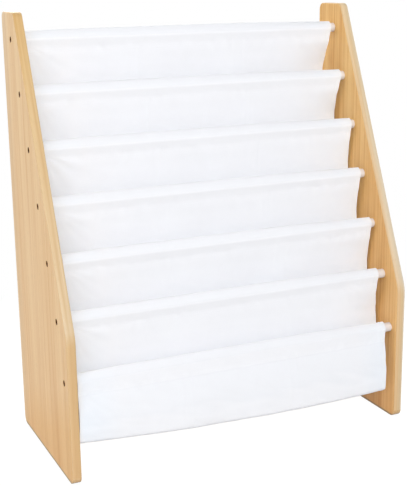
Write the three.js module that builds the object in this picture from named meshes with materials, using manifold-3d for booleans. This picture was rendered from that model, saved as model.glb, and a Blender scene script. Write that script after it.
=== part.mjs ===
// A child's sling bookshelf. Two upright side panels carry seven dowels, one above
// the other down their slanted fronts, and six canvas pockets hang between the dowels.
// Millimetres, +Z up, front towards -Y, origin on the floor midway between the panels.
import * as THREE from "three";
import { mergeVertices } from "three/addons/utils/BufferGeometryUtils.js";
import Module from "manifold-3d";

const wasm = await Module();
wasm.setup();

// Side panels
const height = 711;
const width = 607; // over the outer faces of both panels
const depth = 275; // at the foot
const topDepth = 70; // along the top edge
const kneeHeight = 237.5; // where the slanted front turns plumb
const kneeRadius = 60;
const cornerRadius = 12;
const boardThickness = 15;
const arris = 1.2; // eased edge all round a panel

// Dowels
const dowelDiameter = 16;
const dowelCount = 7;
const topDowelDrop = 42.5; // top edge of a panel to the first dowel
const kneeDowelRise = 16; // knee to the last dowel of the slanted row
const slantSetback = 40; // slanted front edge to that row, measured level
const lowDowelHeight = 162.5; // floor to the lowest dowel
const lowDowelSetback = 21.5; // plumb front edge to it

// Countersunk socket screws, one into each end of a dowel
const screwLength = 50;
const shankDiameter = 5;
const headDiameter = 9.5;
const headRim = 0.5;
const headRecess = 0.3; // head below the panel's face
const tipLength = 4;
const tipDiameter = 2.5;
const socketSize = 4; // across the flats
const socketDepth = 2.2;
const tipRoom = 2; // bore beyond the tip
const screwFit = 0.3;
const overrun = 2; // how far a cutter stands out of what it cuts

// Canvas pockets
const clothThickness = 1.2;
const clothGap = 0.3; // between plies that lie on each other
const endGap = 10; // cloth to each panel
const sleeveEase = 0.3; // cloth clear of the dowel inside its sleeve
const seamDrop = 17; // dowel centre to the top of the stitched strip
const seamWidth = 6;
const seamForward = 3;
const pocketDepth = 112; // front dowel to the bottom of its pocket
const foldRadius = 7; // of the rounded bottom
const foldClearance = 1.5; // pocket bottom to the next pocket's rear wall
const belly = 12; // lowest pocket, which has nothing in front of it
const bellyDrop = 70; // front dowel to the fullest place
const bottomSag = 4; // bottom edge, midway along the dowels
const endLift = 14; // bottom edge at the left, where the fold stands open
const creaseRidge = 2.5; // packing creases, forward of the cloth between them
const endSwing = 4; // free ends of the cloth hang back
const pullRidge = 3; // slanting fold drawn from the left end of a sleeve
const pullWidth = 22;
const pullRun = 70; // how far along the dowel it travels on its way down
const foldedParts = 3; // the flat cloth was packed folded in three

// Shares of the sizes above
const slideShares = [-0.2, 0.1, 0.3, 0.3, 0.25, -0.25, -0.45]; // of endGap, per dowel
const plumbShare = 0.55; // of a row's drop, where the rear wall has come plumb
const tuckShare = 0.5; // of pocketDepth, where the rear wall turns to the bottom
const endShare = 0.6; // how closely the stations crowd towards the ends
const socketShare = 2 / Math.sqrt(3); // across corners over across flats

// How finely round and hanging things are divided
const dowelSides = 20;
const screwSides = 14;
const socketSides = 6;
const sleeveSteps = 8;
const foldSteps = 4;
const wallSteps = 6;
const frontSteps = 4;
const acrossSteps = 10;
const edgeSteps = 2;
const arcSteps = 3;

const innerWidth = width - 2 * boardThickness;
const clothWidth = innerWidth - 2 * endGap;
const dowelRadius = dowelDiameter / 2;
const back = depth / 2;
const front = -depth / 2;

const materials = {
  wood: () => finish("#e0bd8f", 0.55, 0),
  dowel: () => finish("#f1ebe6", 0.5, 0),
  metal: () => finish("#5f4a33", 0.42, 0.8),
  canvas: () => finish("#f3f3f6", 0.95, 0),
};

function finish(color, roughness, metalness) {
  return new THREE.MeshStandardMaterial({ color, roughness, metalness });
}

function named(name, geometry, material) {
  const mesh = new THREE.Mesh(geometry, material);
  mesh.name = name;
  return mesh;
}

// A closed geometry as a solid that can be cut, and back
function solidOf(geometry) {
  const bare = geometry.clone();
  bare.deleteAttribute("normal");
  bare.deleteAttribute("uv");
  const merged = mergeVertices(bare);
  return new wasm.Manifold(
    new wasm.Mesh({
      numProp: 3,
      vertProperties: merged.attributes.position.array,
      triVerts: new Uint32Array(merged.index.array),
    }),
  );
}

function geometryOf(solid) {
  const { vertProperties, triVerts } = solid.getMesh();
  const geometry = new THREE.BufferGeometry();
  geometry.setAttribute("position", new THREE.BufferAttribute(vertProperties, 3));
  geometry.setIndex(new THREE.BufferAttribute(triVerts, 1));
  geometry.computeVertexNormals();
  return geometry;
}

// A revolved solid lying along X, its profile given as [radius, x] from low x to high x
function turned(profile, sides) {
  const points = profile.map(([radius, along]) => new THREE.Vector2(radius, along));
  return new THREE.LatheGeometry(points, sides).rotateZ(-Math.PI / 2);
}

// A closed outline through [y, z, radius] corners, each rounded by its radius
function roundedOutline(corners) {
  const shape = new THREE.Shape();
  corners.forEach(([y, z, radius], i) => {
    const corner = new THREE.Vector2(y, z);
    const towards = (j) => new THREE.Vector2(...corners.at(j)).sub(corner).normalize();
    const before = towards(i - 1);
    const after = towards((i + 1) % corners.length);
    const half = Math.acos(before.dot(after)) / 2;
    const reach = radius / Math.tan(half);
    const middle = before.clone().add(after).setLength(radius / Math.sin(half));
    const from = before.multiplyScalar(reach).sub(middle).angle();
    const to = after.multiplyScalar(reach).sub(middle).angle();
    shape.absarc(y + middle.x, z + middle.y, radius, from, to, false);
  });
  return shape.closePath();
}

// Dowel centres, from the top: a straight row behind the slanted edge, then the low one
const slope = (depth - topDepth) / (height - kneeHeight);
const rowCount = dowelCount - 1;
const rowTop = height - topDowelDrop;
const rowBottom = kneeHeight + kneeDowelRise;
const dowelCentres = [];
for (let i = 0; i < rowCount; i += 1) {
  const z = THREE.MathUtils.lerp(rowTop, rowBottom, i / (rowCount - 1));
  const edge = back - topDepth - slope * (height - z);
  dowelCentres.push(new THREE.Vector2(edge + slantSetback, z));
}
dowelCentres.push(new THREE.Vector2(front + lowDowelSetback, lowDowelHeight));

// The screw lies along X with its head towards +X and the head's face at zero
const shankRadius = shankDiameter / 2;
const headRadius = headDiameter / 2;
const coneEnd = -headRim - (headRadius - shankRadius);

function screwGeometry() {
  const body = turned(
    [
      [0, -screwLength],
      [tipDiameter / 2, -screwLength],
      [shankRadius, -screwLength + tipLength],
      [shankRadius, coneEnd],
      [headRadius, -headRim],
      [headRadius, 0],
      [0, 0],
    ],
    screwSides,
  );
  const socketRadius = (socketSize * socketShare) / 2;
  const socket = turned(
    [
      [0, -socketDepth],
      [socketRadius, -socketDepth],
      [socketRadius, overrun],
      [0, overrun],
    ],
    socketSides,
  );
  return geometryOf(solidOf(body).subtract(solidOf(socket)));
}

// The hole that the same screw needs through a panel
function screwHole() {
  return turned(
    [
      [0, -boardThickness - overrun],
      [shankRadius + screwFit, -boardThickness - overrun],
      [shankRadius + screwFit, coneEnd],
      [headRadius + screwFit, -headRim],
      [headRadius + screwFit, overrun],
      [0, overrun],
    ],
    screwSides,
  );
}

// A panel stands with its inner face at x = 0 and its outer face at the board's thickness
function panelGeometry() {
  const outline = roundedOutline([
    [front, 0, cornerRadius],
    [back, 0, cornerRadius],
    [back, height, cornerRadius],
    [back - topDepth, height, cornerRadius],
    [front, kneeHeight, kneeRadius],
  ]);
  const board = new THREE.ExtrudeGeometry(outline, {
    depth: boardThickness - 2 * arris,
    curveSegments: arcSteps,
    bevelThickness: arris,
    bevelSize: arris,
    bevelOffset: -arris,
    bevelSegments: edgeSteps,
  });
  board.translate(0, 0, arris);
  const unit = (x, y, z) => new THREE.Vector3(x, y, z);
  board.applyMatrix4(
    new THREE.Matrix4().makeBasis(unit(0, 1, 0), unit(0, 0, 1), unit(1, 0, 0)),
  );
  let solid = solidOf(board);
  for (const { x: y, y: z } of dowelCentres) {
    const hole = screwHole().translate(boardThickness - headRecess, y, z);
    solid = solid.subtract(solidOf(hole));
  }
  return geometryOf(solid);
}

// One side of the shelf, built as the right one and mirrored for the left one
function side(name, hand) {
  const assembly = new THREE.Group();
  assembly.position.x = (hand * innerWidth) / 2;
  assembly.scale.x = hand;
  assembly.add(named(`side_panel_${name}`, panelGeometry(), materials.wood()));
  dowelCentres.forEach(({ x: y, y: z }, i) => {
    const screw = named(`screw_${name}_${i + 1}`, screwGeometry(), materials.metal());
    screw.position.set(boardThickness - headRecess, y, z);
    assembly.add(screw);
  });
  return assembly;
}

// A dowel butts against both panels and is bored from each end for its screw
function dowelGeometry() {
  const end = innerWidth / 2;
  const boreDepth = screwLength - (boardThickness - headRecess) + tipRoom;
  const boreRadius = shankRadius + screwFit;
  return turned(
    [
      [0, boreDepth - end],
      [boreRadius, boreDepth - end],
      [boreRadius, -end],
      [dowelRadius, -end],
      [dowelRadius, end],
      [boreRadius, end],
      [boreRadius, end - boreDepth],
      [0, end - boreDepth],
    ],
    dowelSides,
  );
}

// The middle of the cloth round a dowel, from the back ply of the seam over the top
// to the front ply, as points measured from the dowel's centre
const plyPitch = clothThickness + clothGap;
const seamBottom = seamDrop + seamWidth;
const sleeveRadius = dowelRadius + sleeveEase + clothThickness / 2;

function sleevePath() {
  const backPly = new THREE.Vector2(plyPitch / 2 - seamForward, -seamDrop);
  const frontPly = new THREE.Vector2(-plyPitch / 2 - seamForward, -seamDrop);
  const spread = (ply) => Math.acos(sleeveRadius / ply.length());
  const from = backPly.angle() + spread(backPly) - 2 * Math.PI;
  const to = frontPly.angle() - spread(frontPly);
  const over = new THREE.EllipseCurve(0, 0, sleeveRadius, sleeveRadius, from, to);
  return [
    new THREE.Vector2(backPly.x, -seamBottom),
    backPly,
    ...over.getPoints(sleeveSteps),
    frontPly,
    new THREE.Vector2(frontPly.x, -seamBottom),
  ];
}

// A pocket's section: sleeve over its rear dowel, rear wall, rounded bottom, front wall.
// The front wall is sewn behind the next sleeve, and the last one has a sleeve of its own.
// hang is 0 at a seam and 1 where the cloth is free, and row runs from dowel to dowel.
function pocketSection(i) {
  const rear = dowelCentres[i];
  const fore = dowelCentres[i + 1];
  const last = i === dowelCount - 2;
  const held = plyPitch / 2 + foldRadius + foldClearance + clothThickness / 2;
  const bottom = new THREE.Vector2(
    fore.x + (last ? -belly : held),
    fore.y - pocketDepth + foldRadius,
  );
  const at = (origin, y, z) => new THREE.Vector2(origin.x + y, origin.y + z);
  const rearSleeve = sleevePath().map(({ x, y }) => at(rear, x, y));
  const rowDrop = rear.y - fore.y;
  const rearWall = new THREE.SplineCurve([
    rearSleeve.at(-1),
    at(rear, 0, -rowDrop * plumbShare),
    at(rear, 0, -rowDrop),
    at(rear, (bottom.x + foldRadius - rear.x) * tuckShare, -rowDrop - pocketDepth * tuckShare),
    at(bottom, foldRadius, 0),
  ]);
  const fold = new THREE.EllipseCurve(
    bottom.x, bottom.y, foldRadius, foldRadius, 0, -Math.PI, true,
  );
  const foreSleeve = sleevePath().reverse().map(({ x, y }) => at(fore, x, y));
  const lapped = (3 / 2) * plyPitch - seamForward;
  const frontWall = last
    ? new THREE.SplineCurve([
        at(bottom, -foldRadius, 0),
        at(fore, -belly - foldRadius, -bellyDrop),
        foreSleeve[0],
      ])
    : new THREE.SplineCurve([
        at(bottom, -foldRadius, 0),
        at(fore, plyPitch + foldClearance, -pocketDepth * tuckShare),
        at(fore, lapped, -seamBottom),
        at(fore, lapped, -seamDrop),
      ]);
  const samples = [];
  const add = (points, hangOf, rowOf) => {
    points.forEach((point, k) => {
      const share = k / (points.length - 1);
      samples.push({ point, hang: hangOf(share), row: rowOf(share) });
    });
  };
  add(rearSleeve, () => 0, () => i);
  const drop = rearWall.getPoints(wallSteps).slice(1);
  add(drop, (share) => share, (share) => i + share / 2);
  add(fold.getPoints(foldSteps).slice(1), () => 1, () => i + 1 / 2);
  const rise = frontWall.getPoints(frontSteps).slice(1);
  add(rise, (share) => 1 - share, (share) => i + (1 + share) / 2);
  if (last) add(foreSleeve.slice(1), () => 0, () => i + 1);
  return samples;
}

// Where the cloth hangs at a share of the way across its width
function hangingPoint({ point, hang, row }, share) {
  const slide = THREE.MathUtils.lerp(
    slideShares[Math.floor(row)],
    slideShares[Math.ceil(row)],
    row % 1,
  );
  const x = (share - 1 / 2) * clothWidth + slide * endGap;
  const fromMiddle = Math.abs(2 * share - 1);
  const crease = Math.abs(Math.sin(foldedParts * Math.PI * share)) * creaseRidge;
  const swing = fromMiddle ** 6 * endSwing;
  const run = (share * clothWidth - hang * pullRun) / pullWidth;
  const pull = Math.exp(-run * run) * pullRidge;
  const sag = (1 - fromMiddle ** 2) * bottomSag;
  const lift = (1 - share) ** 2 * endLift;
  const y = point.x + (crease + swing - pull) * Math.sin((hang * Math.PI) / 2);
  const z = point.y + (lift - sag) * hang ** 2;
  return new THREE.Vector3(x, y, z);
}

// The two faces, the four edges and so the closed body of a pocket's cloth
function pocketGeometry(i) {
  const section = pocketSection(i);
  const normals = section.map((_, k) => {
    const before = section[Math.max(k - 1, 0)].point;
    const after = section[Math.min(k + 1, section.length - 1)].point;
    const along = after.clone().sub(before).normalize();
    return new THREE.Vector3(0, along.y, -along.x).multiplyScalar(clothThickness / 2);
  });
  const positions = [];
  for (let row = 0; row <= acrossSteps; row += 1) {
    const even = row / acrossSteps;
    const share = even - (endShare * Math.sin(2 * Math.PI * even)) / (2 * Math.PI);
    section.forEach((sample, k) => {
      const middle = hangingPoint(sample, share);
      positions.push(...middle.clone().add(normals[k]).toArray());
      positions.push(...middle.sub(normals[k]).toArray());
    });
  }
  const last = section.length - 1;
  const id = (row, k, face) => (row * section.length + k) * 2 + face;
  const index = [];
  const quad = (a, b, c, d) => index.push(a, b, c, a, c, d);
  for (let row = 0; row < acrossSteps; row += 1) {
    for (let k = 0; k < last; k += 1) {
      quad(id(row, k, 0), id(row, k + 1, 0), id(row + 1, k + 1, 0), id(row + 1, k, 0));
      quad(id(row, k, 1), id(row + 1, k, 1), id(row + 1, k + 1, 1), id(row, k + 1, 1));
    }
    quad(id(row, 0, 0), id(row + 1, 0, 0), id(row + 1, 0, 1), id(row, 0, 1));
    quad(id(row, last, 0), id(row, last, 1), id(row + 1, last, 1), id(row + 1, last, 0));
  }
  for (let k = 0; k < last; k += 1) {
    quad(id(0, k, 0), id(0, k, 1), id(0, k + 1, 1), id(0, k + 1, 0));
    const end = acrossSteps;
    quad(id(end, k, 0), id(end, k + 1, 0), id(end, k + 1, 1), id(end, k, 1));
  }
  const geometry = new THREE.BufferGeometry();
  geometry.setAttribute("position", new THREE.Float32BufferAttribute(positions, 3));
  geometry.setIndex(index);
  geometry.computeVertexNormals();
  return geometry;
}

const bookshelf = new THREE.Group();
bookshelf.add(side("left", -1), side("right", 1));
dowelCentres.forEach(({ x: y, y: z }, i) => {
  const dowel = named(`dowel_${i + 1}`, dowelGeometry(), materials.dowel());
  dowel.position.set(0, y, z);
  bookshelf.add(dowel);
});
for (let i = 0; i < dowelCount - 1; i += 1) {
  bookshelf.add(named(`sling_pocket_${i + 1}`, pocketGeometry(i), materials.canvas()));
}

export default bookshelf;
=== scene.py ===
# %% [markdown]
# # A child's sling bookshelf, dressed in Blender
#
# Two wooden side panels carry seven white dowels, and six canvas pockets hang between
# them. The shapes were made as solids first, and they arrive here as a fixed frame.
# This lesson puts finer pieces in their places: boards with eased edges, turned dowels,
# threaded screws, and cloth that is hemmed, stitched, creased and hung.

# %% Load the frame
import math

import bpy
import numpy as np
from mathutils import Matrix, Vector
from mathutils.geometry import tessellate_polygon


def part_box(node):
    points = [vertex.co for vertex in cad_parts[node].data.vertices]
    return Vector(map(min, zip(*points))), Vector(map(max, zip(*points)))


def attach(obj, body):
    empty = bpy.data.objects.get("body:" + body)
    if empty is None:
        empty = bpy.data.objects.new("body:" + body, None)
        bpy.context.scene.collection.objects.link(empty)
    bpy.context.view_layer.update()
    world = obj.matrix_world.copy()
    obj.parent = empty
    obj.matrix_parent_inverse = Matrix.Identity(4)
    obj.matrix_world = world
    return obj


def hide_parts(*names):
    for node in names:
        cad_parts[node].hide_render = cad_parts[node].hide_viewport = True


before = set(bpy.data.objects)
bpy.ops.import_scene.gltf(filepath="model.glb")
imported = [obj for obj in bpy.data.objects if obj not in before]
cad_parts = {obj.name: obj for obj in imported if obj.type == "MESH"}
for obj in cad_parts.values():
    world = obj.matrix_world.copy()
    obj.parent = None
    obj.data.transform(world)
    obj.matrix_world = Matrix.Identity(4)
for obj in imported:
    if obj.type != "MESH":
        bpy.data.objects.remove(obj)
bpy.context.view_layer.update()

print("nodes in the frame:", len(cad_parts))

# %% [markdown]
# ## Sizes
#
# Every place is read from the frame, so that a new piece can't drift away from the solid
# that it stands for. Cloth is easier to think about in millimetres, so the sizes below
# are in millimetres, and a mesh is turned into metres when it is made.

# %% Read the places
MM = 0.001


def centre_of(node):
    low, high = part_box(node)
    return (low + high) / (2 * MM)


def size_of(node):
    low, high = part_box(node)
    return (high - low) / MM


def add_object(name, data):
    """A new object in the scene, which shows that camera, lamp or mesh."""
    made = bpy.data.objects.new(name, data)
    bpy.context.scene.collection.objects.link(made)
    return made


DOWELS = [centre_of(f"dowel_{i}").yz for i in range(1, 8)]
BOARD, DEPTH, HEIGHT = size_of("side_panel_left")
INNER, DOWEL_RADIUS = size_of("dowel_1").xy / 2
print("board", round(BOARD, 1), "depth", round(DEPTH, 1), "height", round(HEIGHT, 1))

# %% [markdown]
# ## Camera
#
# The camera stands where the photographer stood: in front, to the left, and a little
# above the top of the shelf. Its place and its three angles were found by fitting a
# pinhole camera to the panel edges, screws and dowel ends. The axes are built from
# those angles, because that keeps the roll of the picture, which a plain look-at loses.

# %% Place the camera
PICTURE = (407, 486)
FOCAL_PIXELS = 1053.53
EYE = Vector((-0.7282, -1.5754, 0.7663))
PITCH = math.radians(14.375)
YAW = math.radians(24.388)
ROLL = math.radians(0.779)

ahead = Vector(
    (math.sin(YAW) * math.cos(PITCH), math.cos(YAW) * math.cos(PITCH), -math.sin(PITCH))
)
level_right = Vector((math.cos(YAW), -math.sin(YAW), 0))
level_down = ahead.cross(level_right)
right = math.cos(ROLL) * level_right + math.sin(ROLL) * level_down
down = math.cos(ROLL) * level_down - math.sin(ROLL) * level_right

camera = add_object("camera", bpy.data.cameras.new("camera"))
camera.data.sensor_width = 36
camera.data.lens = camera.data.sensor_width * FOCAL_PIXELS / max(PICTURE)
camera.data.clip_end = 60
turned = Matrix((right, -down, -ahead)).transposed().to_4x4()
camera.matrix_world = Matrix.Translation(EYE) @ turned
bpy.context.scene.camera = camera
print("lens", round(camera.data.lens, 2), "mm")

# %% [markdown]
# ## Shader maths
#
# A material is a graph of nodes, and long graphs are hard to read as code. This class
# wraps one output socket, so that `1 - mask * 0.5` adds its own Math nodes. Everything
# that isn't plain maths comes from `node`, which sets a node's settings first and then
# its inputs. Colours are mixed with `blend` and `tinted`, because a Math node would turn
# them grey.


# %% A socket that takes part in expressions
def operator(operation, swapped=False):
    """A method that adds a Math node between a socket and another value."""

    def method(self, other):
        pair = (other, self) if swapped else (self, other)
        return self.node("Math", {"operation": operation}, dict(enumerate(pair)))

    return method


class Shade:
    __add__ = __radd__ = operator("ADD")
    __sub__ = operator("SUBTRACT")
    __rsub__ = operator("SUBTRACT", swapped=True)
    __mul__ = __rmul__ = operator("MULTIPLY")
    __truediv__ = operator("DIVIDE")

    def __init__(self, tree, socket=None):
        self.tree = tree
        self.socket = socket

    def node(self, kind, settings=None, inputs=None, output=0):
        made = self.tree.nodes.new("ShaderNode" + kind)
        for name, value in (settings or {}).items():
            if name == "stops":
                self.set_stops(made.color_ramp, value)
            else:
                setattr(made, name, value)
        for key, value in (inputs or {}).items():
            socket = self.pick(made.inputs, key)
            if isinstance(value, Shade):
                self.tree.links.new(value.socket, socket)
            else:
                socket.default_value = value
        if not made.outputs:
            return None
        return Shade(self.tree, self.pick(made.outputs, output))

    @staticmethod
    def pick(sockets, key):
        if isinstance(key, int):
            return sockets[key]
        return next(s for s in sockets if key in (s.identifier, s.name))

    @staticmethod
    def set_stops(ramp, stops):
        while len(ramp.elements) < len(stops):
            ramp.elements.new(1)
        for element, (place, colour) in zip(ramp.elements, stops):
            element.position = place
            element.color = colour

    def maths(self, operation, *others, clamp=False):
        values = dict(enumerate((self, *others)))
        return self.node("Math", {"operation": operation, "use_clamp": clamp}, values)

    def clamped(self):
        return self.maths("ADD", 0.0, clamp=True)

    def past(self, edge, rise):
        """0 up to the edge, and from there up to 1 at that rise."""
        return ((self - edge) * rise).clamped()

    def short_of(self, edge, rise):
        """The other way round: 0 from the edge on, and up to 1 below it."""
        return ((edge - self) * rise).clamped()

    def mix(self, factor, one, other, how="MIX"):
        return self.node(
            "Mix",
            {"data_type": "RGBA", "blend_type": how},
            {"Factor_Float": factor, "A_Color": one, "B_Color": other},
            "Result_Color",
        )

    def blend(self, one, other):
        """One colour where this is 0, and the other where it is 1."""
        return self.mix(self, one, other)

    def tinted(self, colour, mask=1.0):
        """This colour, multiplied by the other one where the mask is 1."""
        return self.mix(mask, self, colour, "MULTIPLY")

    def scaled(self, *factors):
        """This vector, each part times its own factor."""
        return self.node("VectorMath", {"operation": "MULTIPLY"}, {0: self, 1: factors})

    def noise(self, detail=2.0, roughness=0.5):
        """Soft noise about one unit across, read at this vector."""
        inputs = {"Vector": self, "Scale": 1.0, "Detail": detail, "Roughness": roughness}
        return self.node("TexNoise", {}, inputs, "Fac")

    def part(self, axis):
        return self.node("SeparateXYZ", {}, {0: self}, axis)

    def coordinates(self, kind):
        """A point of the surface in the object's own axes, or the way that it faces."""
        return self.node("TexCoord", {}, {}, kind)

    def attribute(self, name, output="Fac"):
        """What the mesh stores under that name."""
        return self.node("Attribute", {"attribute_name": name}, {}, output)

    def bump(self, distance, strength=1.0):
        """A Bump node that reads this as height, in metres times distance."""
        inputs = {"Height": self, "Distance": distance, "Strength": strength}
        return self.node("Bump", {}, inputs, "Normal")


def new_material(name):
    material = bpy.data.materials.new(name)
    material.use_nodes = True
    material.node_tree.nodes.clear()
    return material, Shade(material.node_tree)


def finish_material(start, **inputs):
    """Ends a material with a Principled shader that takes these values or links."""
    named = {key.replace("_", " "): value for key, value in inputs.items()}
    shader = start.node("BsdfPrincipled", {}, named)
    start.node("OutputMaterial", {}, {"Surface": shader})


print("one class wraps every socket")

# %% [markdown]
# ## Meshes from rings
#
# Boards, dowels, screws and stitches are all rings of points joined one to the next. A
# helper that joins rings, and can close both ends, makes them all, and keeps the faces in
# neat rows that shade well. The alternative, booleans between primitives, leaves slivers
# where the bevels meet.


# %% Join rings of points into a mesh
def ring_faces(first, count, size, ends=False):
    """Quads between rings that follow one another in the vertex list, and both end faces when ends
    is set.
    """
    faces = []
    last = first + (count - 1) * size
    for start in range(first, last, size):
        for k in range(size):
            near, next_one = start + k, start + (k + 1) % size
            faces.append((near, next_one, next_one + size, near + size))
    if ends:
        faces.append(tuple(reversed(range(first, first + size))))
        faces.append(tuple(range(last, last + size)))
    return faces


def piece(name, vertices, faces, material, sharp_angle=None):
    """A new mesh object that rides on the shelf and takes the given material."""
    mesh = bpy.data.meshes.new(name)
    mesh.from_pydata([tuple(v) for v in vertices], [], faces)
    mesh.materials.append(material)
    mesh.validate()
    mesh.shade_smooth()
    if sharp_angle is not None:
        mesh.set_sharp_from_angle(angle=math.radians(sharp_angle))
    made = add_object(name, mesh)
    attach(made, "root")
    return made


def turned_over(faces):
    """The same faces, seen from their other side."""
    return [tuple(reversed(face)) for face in faces]


def run(line):
    """How far along a line of points each of its points is."""
    steps = np.linalg.norm(np.diff(line, axis=0), axis=1)
    return np.concatenate([[0], np.cumsum(steps)])


def store(mesh, name, kind, domain, values):
    """Keeps values on a mesh under a name, for its material to read."""
    attribute = mesh.attributes.new(name, kind, domain)
    key = {"FLOAT_VECTOR": "vector", "FLOAT_COLOR": "color"}.get(kind, "value")
    attribute.data.foreach_set(key, np.asarray(values, np.float32).ravel())


# %% [markdown]
# ## The studio
#
# The photograph is a cut-out on white, lit softly from all round with a little more from
# the front left. A pale floor disc and an even world give that light. Both look white to
# the camera and to reflections through Light Path, so the object never needs more
# light to sit on white, and the floor still shows a soft shadow close to the feet. Sun
# and sky would be quicker to set, but large soft boxes can be placed one by one. The key
# light is wide and low, because a tall one draws dark lines above the sleeves.

# %% World and lamps
WHITE = (1.0, 1.0, 1.0, 1.0)
AMBIENT = 0.24


def seen_directly(start):
    """1 for the rays that should find the white background."""
    seen = start.node("LightPath", {}, {}, "Is Camera Ray")
    for name in ("Is Glossy Ray", "Is Transmission Ray"):
        seen = seen + start.node("LightPath", {}, {}, name)
    return seen.clamped()


world = bpy.data.worlds.new("studio")
bpy.context.scene.world = world
world.use_nodes = True
world.node_tree.nodes.clear()
studio = Shade(world.node_tree)
even = studio.node("Background", {}, {"Color": WHITE, "Strength": AMBIENT})
white = studio.node("Background", {}, {"Color": WHITE, "Strength": 1.0})
mixed = studio.node("MixShader", {}, {0: seen_directly(studio), 1: even, 2: white})
studio.node("OutputWorld", {}, {"Surface": mixed})


MIDDLE = Vector((0, 0, 0.36))
# where each soft box stands, how wide and high it is, and its watts
SOFT_BOXES = {
    "key": ((-0.35, -3.8, 2.05), (2.9, 1.1), 112),
    "left": ((-2.39, -2.48, 2.0), (2.2, 1.6), 33),
    "back": ((0, 3.9, 1.9), (2.6, 1.4), 50),
    "high_back": ((0, 2.9, 2.9), (2.4, 1.2), 60),
    "left_side": ((-3.61, 0.64, 1.69), (1.8, 1.8), 29),
    "right_side": ((3.61, 0.64, 1.69), (1.8, 1.8), 60),
}
for name, (place, size, watts) in SOFT_BOXES.items():
    lamp = bpy.data.lights.new(name, "AREA")
    lamp.shape = "RECTANGLE"
    lamp.size, lamp.size_y = size
    lamp.energy = watts
    made = add_object(name, lamp)
    made.location = place
    made.rotation_euler = (MIDDLE - Vector(place)).to_track_quat("-Z", "Y").to_euler()
print("soft boxes", len(SOFT_BOXES), "and ambient strength", AMBIENT)

# %% Floor
FLOOR_RADIUS = 6.0
FLOOR_SIDES = 96
BELOW_FEET = 0.0005
FLOOR_GREY = (0.50, 0.50, 0.50, 1)
FLOOR_PALE = (0.97, 0.97, 0.97, 1)
SHADOW_REACH = 0.9
SHADOW_SHARE = 0.30
# how bright the pale floor comes out where nothing shades it
OPEN_FLOOR = 0.62

floor_material, start = new_material("studio_floor")
place = start.coordinates("Object")
away = start.node("VectorMath", {"operation": "LENGTH"}, {0: place}, "Value")
near = (1 - away / SHADOW_REACH).clamped()
plain = start.node("BsdfDiffuse", {}, {"Color": FLOOR_GREY})
shaded = start.node("BsdfDiffuse", {}, {"Color": FLOOR_PALE})
kept = near * SHADOW_SHARE
level = (1 - kept * OPEN_FLOOR) / (1 - kept)
glow = start.node("Emission", {}, {"Color": WHITE, "Strength": level})
shown = start.node("MixShader", {}, {0: kept, 1: glow, 2: shaded})
surface = start.node("MixShader", {}, {0: seen_directly(start), 1: plain, 2: shown})
start.node("OutputMaterial", {}, {"Surface": surface})

angles = [2 * math.pi * k / FLOOR_SIDES for k in range(FLOOR_SIDES)]
floor_mesh = bpy.data.meshes.new("floor")
floor_mesh.from_pydata(
    [(FLOOR_RADIUS * math.cos(a), FLOOR_RADIUS * math.sin(a), 0) for a in angles],
    [],
    [tuple(range(FLOOR_SIDES))],
)
floor_mesh.materials.append(floor_material)
floor = add_object("floor", floor_mesh)
floor.location.z = -BELOW_FEET
print("floor radius", FLOOR_RADIUS)

# %% [markdown]
# ## Wood
#
# The boards are pale, with straight grain that runs upright: broad bands a couple of
# centimetres wide, finer streaks inside them, and thin fibres and pores. Noise that is
# stretched a long way along the grain gives each of those layers. The faces store where
# they are in the board in an attribute called grain, as across, along and through. The
# rim stores its own, so that its streaks run along the edge as edging strip does. A
# picture of a plank would do for one board, but it has its own light in it already.

# %% Wood material
wood, start = new_material("pale_wood")
grain = start.attribute("grain", "Vector")
wander = grain.scaled(5.0, 1.4, 5.0).noise() - 0.5
offset = start.node("CombineXYZ", {}, {"X": wander * 0.010})
grain = grain.node("VectorMath", {"operation": "ADD"}, {0: grain, 1: offset})

bands = grain.scaled(24.0, 0.9, 24.0).noise(3.0, 0.55)
streaks = grain.scaled(230.0, 3.0, 230.0).noise(2.0, 0.5)
fibres = grain.scaled(1100.0, 14.0, 1100.0).noise(2.0, 0.6)
pores = grain.scaled(1900.0, 90.0, 1900.0).noise(0.0).past(0.70, 9.0)

PALE = (0.88, 0.645, 0.370, 1)
BODY = (0.80, 0.535, 0.265, 1)
AMBER = (0.69, 0.385, 0.140, 1)
layers = bands * 0.48 + streaks * 0.40 + fibres * 0.12
tone = start.node(
    "ValToRGB",
    {"stops": [(0.32, AMBER), (0.47, BODY), (0.64, PALE)]},
    {"Fac": 0.5 + (layers - 0.5) * start.attribute("figure")},
    "Color",
)
tone = tone.tinted(start.attribute("tint", "Color"))
print("wood layers:", "bands, streaks, fibres, pores")

# %% [markdown]
# ## Tones that belong to a place
#
# No board is one tone all over. The flat faces turn golden at the foot and greyer along
# the rear edge. Painted shade darkens the lowest millimetres of each board and its rounded
# edges, and on an inner face a painted shadow lies behind the lowest pocket, with painted
# light in front of it. Paint on a texture could say so, but a mask made from the place on
# the shelf needs no picture, and it stays with the board from any side.

# %% Tones of the wood, with painted shade and light
GOLDEN = (0.955, 0.885, 0.705, 1)
GREYER = (0.91, 0.93, 1.0, 1)
# the colour of the painted shade along the foot's lower edge
UNDERSIDE_SHADE = (0.22, 0.15, 0.08, 1)
# the colour of a painted shadow on the inner faces behind the lowest pocket
POCKET_SHADOW = (0.64, 0.58, 0.54, 1)
# the colour of painted light on the inner faces in front of the lowest pocket
POCKET_SIDE_LIGHT = (1.13, 1.13, 1.15, 1)
PORE = (0.42, 0.235, 0.100, 1)
# the colour of the painted shade on the rounded edges
EDGE_SHADE = (0.52, 0.34, 0.17, 1)

place = start.coordinates("Object")
along, height = place.part("Y"), place.part("Z")
flat = start.attribute("flat")
inward = place.part("X").maths("ABSOLUTE").short_of(0.2895, 800.0)
foot = (height + along * 0.35 - wander * 0.12).short_of(0.125, 13.0)
under = height.short_of(0.005, 400.0)
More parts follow.
